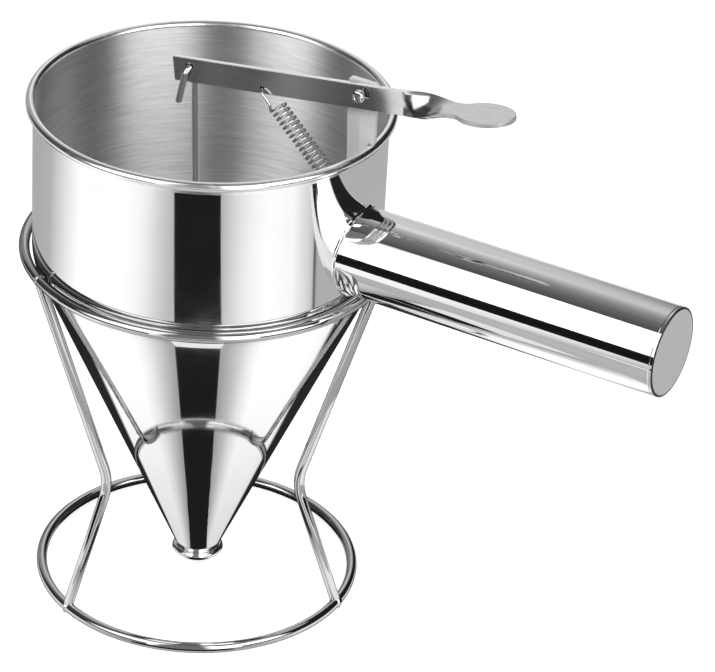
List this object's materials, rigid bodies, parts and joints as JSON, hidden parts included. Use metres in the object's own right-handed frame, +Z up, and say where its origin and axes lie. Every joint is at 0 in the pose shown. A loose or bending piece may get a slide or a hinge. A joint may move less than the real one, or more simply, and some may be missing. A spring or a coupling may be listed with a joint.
{
  "type": "batter dispenser",
  "caption": "Hand-held funnel with a tube handle, a sprung thumb lever that lifts a stopper rod off the outlet, and a wire stand that the funnel hangs in.",
  "frame": {"origin": "on the table top, at the centre of the stand's base ring, on the funnel's axis", "axes": "+Z up along the funnel's axis, +X along the handle, away from the cup, +Y to the left of someone who looks along the handle from the cup"},
  "size_m": [0.22, 0.1182, 0.1957],
  "materials": {
    "cup_steel": "stainless sheet, mirror polished outside, fine circular brushing inside",
    "nozzle_steel": "stainless, polished, with a rolled lip",
    "handle_steel": "stainless tube, mirror polished, with a polished weld at its root",
    "cap_steel": "stainless disc with a dull satin face",
    "bracket_steel": "stainless plate, satin",
    "rivet_steel": "bright stainless",
    "lever_steel": "stainless strip, fine satin along its length",
    "rod_steel": "drawn stainless wire, bright",
    "stopper_steel": "turned stainless, fine tool marks round its axis",
    "spring_steel": "drawn spring wire, bright",
    "stand_wire": "polished wire",
    "stand_weld": "small polished weld beads"
  },
  "bodies": {
    "stand": {"stand_top_ring": "stand_wire", "stand_base_ring": "stand_wire", "stand_leg_right": "stand_wire", "stand_leg_left": "stand_wire", "stand_leg_back": "stand_wire", "top_ring_welds": "stand_weld", "base_ring_welds": "stand_weld"},
    "funnel": {"cup_barrel": "cup_steel", "funnel_cone": "cup_steel", "nozzle_ring": "nozzle_steel", "handle_tube": "handle_steel", "handle_end_cap": "cap_steel", "handle_weld": "handle_steel", "lever_bracket": "bracket_steel", "pivot_washer": "rivet_steel", "pivot_rivet": "rivet_steel"},
    "lever": {"release_lever": "lever_steel", "return_spring": "spring_steel"},
    "plunger": {"plunger_rod": "rod_steel", "stopper_plug": "stopper_steel"}
  },
  "joints": [
    {"name": "funnel_lift", "type": "slide", "parent": "stand", "child": "funnel", "axis": [0, 0, 1], "range_m": [0, 0.15]},
    {"name": "lever_pivot", "type": "hinge", "parent": "funnel", "child": "lever", "pos_m": [0.0515, 0, 0.1875], "axis": [0, 1, 0], "range_deg": [0, 20], "stiffness_Nm_per_rad": 0.25, "springref_deg": -26.36, "deforming": ["return_spring"]},
    {"name": "plunger_swing", "type": "hinge", "parent": "lever", "child": "plunger", "pos_m": [-0.00814, 0, 0.18005], "axis": [0, 1, 0], "range_deg": [-20, 0]}
  ],
  "couplings": [
    {"joint": "plunger_swing", "follows": "lever_pivot", "ratio": -1}
  ]
}
